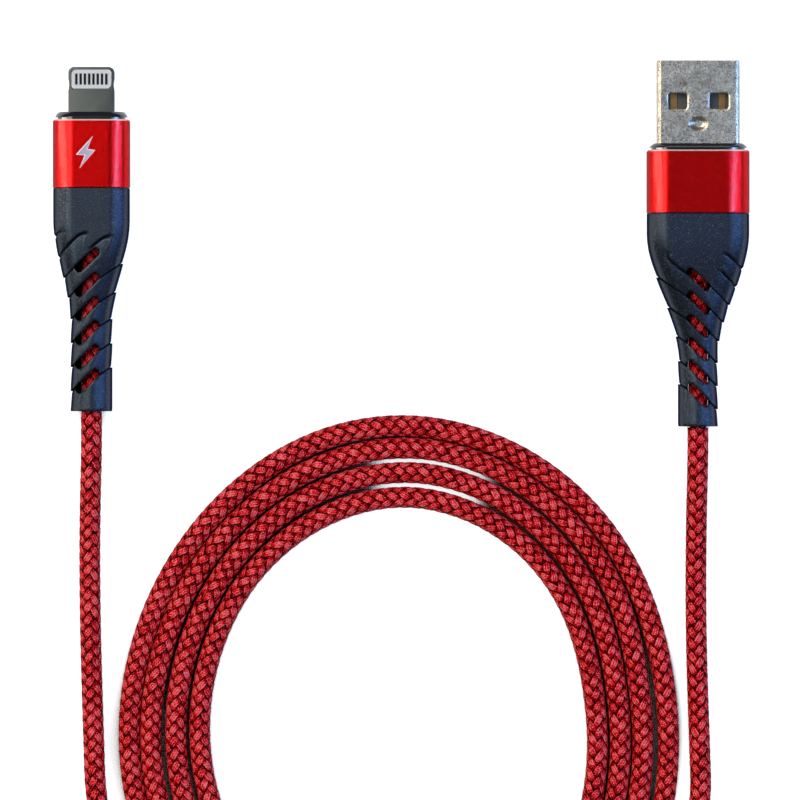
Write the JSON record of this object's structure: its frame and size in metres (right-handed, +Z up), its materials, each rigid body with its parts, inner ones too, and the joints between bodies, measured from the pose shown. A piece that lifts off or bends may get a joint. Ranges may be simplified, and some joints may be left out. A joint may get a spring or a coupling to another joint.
{
  "type": "charging cable",
  "caption": "Braided charging cable with a full-size USB plug and a small flat phone plug, both in anodised housings with slotted strain-relief boots, lying in a flat oval coil.",
  "frame": {"origin": "on the table, under the middle of the box round the two plugs (the free cord left out)", "axes": "+Z up from the table, +Y the way both plugs point, +X from the phone plug to the USB plug"},
  "size_m": [0.101, 0.1448, 0.008],
  "materials": {
    "stamped_steel": "stamped nickel-plated steel, mottled satin",
    "blade_steel": "satin, fine edges polished",
    "gold_plate": "thin gold plate, polished",
    "dark_contact": "dark plated, polished",
    "red_anodised": "red anodised over fine bead blasting, chamfers cut bright",
    "black_plastic": "glossy moulded",
    "grey_plastic": "moulded, matt",
    "white_plastic": "moulded, natural white",
    "boot_rubber": "soft moulding, fine speckled texture, charcoal blue",
    "red_braid": "close nylon braid, chevron lay",
    "grey_jacket": "smooth",
    "board_green": "green solder mask",
    "wire_red": "smooth insulation",
    "wire_white": "smooth insulation",
    "wire_green": "smooth insulation",
    "wire_black": "smooth insulation"
  },
  "bodies": {
    "root": {"usb_shell": "stamped_steel", "usb_tongue": "black_plastic", "usb_contact_1": "gold_plate", "usb_contact_2": "gold_plate", "usb_contact_3": "gold_plate", "usb_contact_4": "gold_plate", "usb_collar": "black_plastic", "usb_housing": "red_anodised", "usb_inner_mould": "white_plastic", "usb_boot": "boot_rubber", "usb_braid_end": "red_braid", "usb_jacket_end": "grey_jacket", "usb_cable_crimp": "stamped_steel", "usb_wire_red": "wire_red", "usb_wire_white": "wire_white", "usb_wire_green": "wire_green", "usb_wire_black": "wire_black", "phone_blade": "blade_steel", "phone_contact_insert": "grey_plastic", "phone_contact_top_1": "dark_contact", "phone_contact_top_2": "dark_contact", "phone_contact_top_3": "dark_contact", "phone_contact_top_4": "dark_contact", "phone_contact_top_5": "dark_contact", "phone_contact_top_6": "dark_contact", "phone_contact_top_7": "dark_contact", "phone_contact_top_8": "dark_contact", "phone_contact_bottom_1": "dark_contact", "phone_contact_bottom_2": "dark_contact", "phone_contact_bottom_3": "dark_contact", "phone_contact_bottom_4": "dark_contact", "phone_contact_bottom_5": "dark_contact", "phone_contact_bottom_6": "dark_contact", "phone_contact_bottom_7": "dark_contact", "phone_contact_bottom_8": "dark_contact", "phone_circuit_board": "board_green", "phone_chip": "black_plastic", "phone_collar": "black_plastic", "phone_housing": "red_anodised", "phone_inner_mould": "white_plastic", "phone_boot": "boot_rubber", "phone_braid_end": "red_braid", "phone_jacket_end": "grey_jacket", "phone_cable_crimp": "stamped_steel", "phone_wire_red": "wire_red", "phone_wire_white": "wire_white", "phone_wire_green": "wire_green", "phone_wire_black": "wire_black", "phone_lead": "red_braid", "cable_coil": "red_braid", "usb_lead": "red_braid"}
  },
  "joints": []
}
